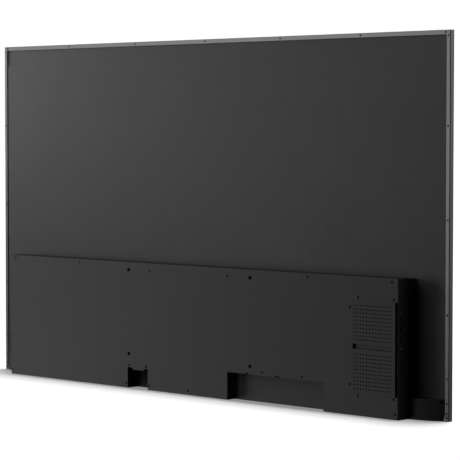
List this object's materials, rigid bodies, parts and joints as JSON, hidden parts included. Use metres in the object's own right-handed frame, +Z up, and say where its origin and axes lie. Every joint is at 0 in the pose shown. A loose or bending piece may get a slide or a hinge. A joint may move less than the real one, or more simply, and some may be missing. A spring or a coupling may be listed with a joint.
{
  "type": "flat panel display",
  "caption": "Thin wide flat-panel display with an aluminium frame, a full-width steel rear cover along its lower half, vented access panel, plug notch, connector bay and side keys.",
  "frame": {"origin": "on the floor, below the middle of the bounding box", "axes": "+X along the long side (right when seen from behind), +Y towards the viewer of the screen, +Z up"},
  "size_m": [1.449, 0.0704, 0.824],
  "materials": {
    "frame_alloy": "satin anodised",
    "black_screws": "satin black",
    "bright_steel": "zinc plated",
    "bezel_black": "fine satin",
    "gloss_black": "gloss",
    "screen_glass": "anti-glare",
    "black_plastic": "fine texture",
    "film_white": "satin",
    "clear_acrylic": "polished",
    "strip_white": "solder mask",
    "emitter_yellow": "phosphor",
    "sheet_grey": "fine matt coat",
    "bar_grey": "fine matt coat",
    "tray_grey": "matt coat",
    "cover_grey": "fine powder coat",
    "panel_grey": "fine powder coat",
    "bay_grey": "matt coat",
    "cone_grey": "matt",
    "connector_nickel": "nickel plated",
    "contact_metal": "nickel plated",
    "rocker_black": "moulded gloss",
    "key_black": "moulded",
    "board_green": "solder mask",
    "chip_black": "moulded",
    "heatsink_alloy": "extruded",
    "transformer_yellow": "tape wound",
    "capacitor_black": "sleeved"
  },
  "bodies": {
    "display": {"frame_rail_top": "frame_alloy", "frame_rail_bottom": "frame_alloy", "frame_rail_left": "frame_alloy", "frame_rail_right": "frame_alloy", "corner_keys": "bright_steel", "cover_posts": "bright_steel", "vesa_plate_left": "bright_steel", "vesa_plate_right": "bright_steel", "vesa_inserts": "bright_steel", "side_screws": "bright_steel", "standoffs": "bright_steel", "frame_screws": "black_screws", "cover_screws": "black_screws", "bar_screws": "black_screws", "front_bezel": "bezel_black", "sensor_window": "gloss_black", "lcd_panel": "screen_glass", "mid_frame": "black_plastic", "speaker_left": "black_plastic", "speaker_right": "black_plastic", "mains_inlet": "black_plastic", "switch_body": "black_plastic", "audio_jack": "black_plastic", "optical_films": "film_white", "reflector_sheet": "film_white", "light_guide": "clear_acrylic", "led_strip": "strip_white", "led_emitters": "emitter_yellow", "back_sheet": "sheet_grey", "bottom_bar": "bar_grey", "chassis_tray": "tray_grey", "rear_cover": "cover_grey", "vent_panel": "panel_grey", "mains_bay": "bay_grey", "connector_bay": "bay_grey", "side_plate": "bay_grey", "speaker_drivers": "cone_grey", "mains_pins": "contact_metal", "hdmi_ports": "connector_nickel", "display_port": "connector_nickel", "usb_ports": "connector_nickel", "lan_port": "connector_nickel", "dsub_ports": "connector_nickel", "side_ports": "connector_nickel", "key_board": "board_green", "main_board": "board_green", "supply_board": "board_green", "driver_board": "board_green", "timing_board": "board_green", "side_board": "board_green", "main_board_chips": "chip_black", "heatsink": "heatsink_alloy", "supply_transformers": "transformer_yellow", "driver_parts": "transformer_yellow", "supply_capacitors": "capacitor_black"},
    "rocker": {"power_rocker": "rocker_black"},
    "power_key": {"power_key": "key_black"},
    "source_key": {"source_key": "key_black"},
    "up_key": {"up_key": "key_black"},
    "down_key": {"down_key": "key_black"}
  },
  "joints": [
    {"name": "rocker_tilt", "type": "hinge", "parent": "display", "child": "rocker", "pos_m": [-0.153, -0.0177, 0.0515], "axis": [-1, 0, 0], "range_deg": [0, 16]},
    {"name": "power_key_press", "type": "slide", "parent": "display", "child": "power_key", "axis": [-1, 0, 0], "range_m": [0, 0.0008], "stiffness_N_per_m": 600, "springref_m": -0.0005},
    {"name": "source_key_press", "type": "slide", "parent": "display", "child": "source_key", "axis": [-1, 0, 0], "range_m": [0, 0.0008], "stiffness_N_per_m": 600, "springref_m": -0.0005},
    {"name": "up_key_press", "type": "slide", "parent": "display", "child": "up_key", "axis": [-1, 0, 0], "range_m": [0, 0.0008], "stiffness_N_per_m": 600, "springref_m": -0.0005},
    {"name": "down_key_press", "type": "slide", "parent": "display", "child": "down_key", "axis": [-1, 0, 0], "range_m": [0, 0.0008], "stiffness_N_per_m": 600, "springref_m": -0.0005}
  ]
}
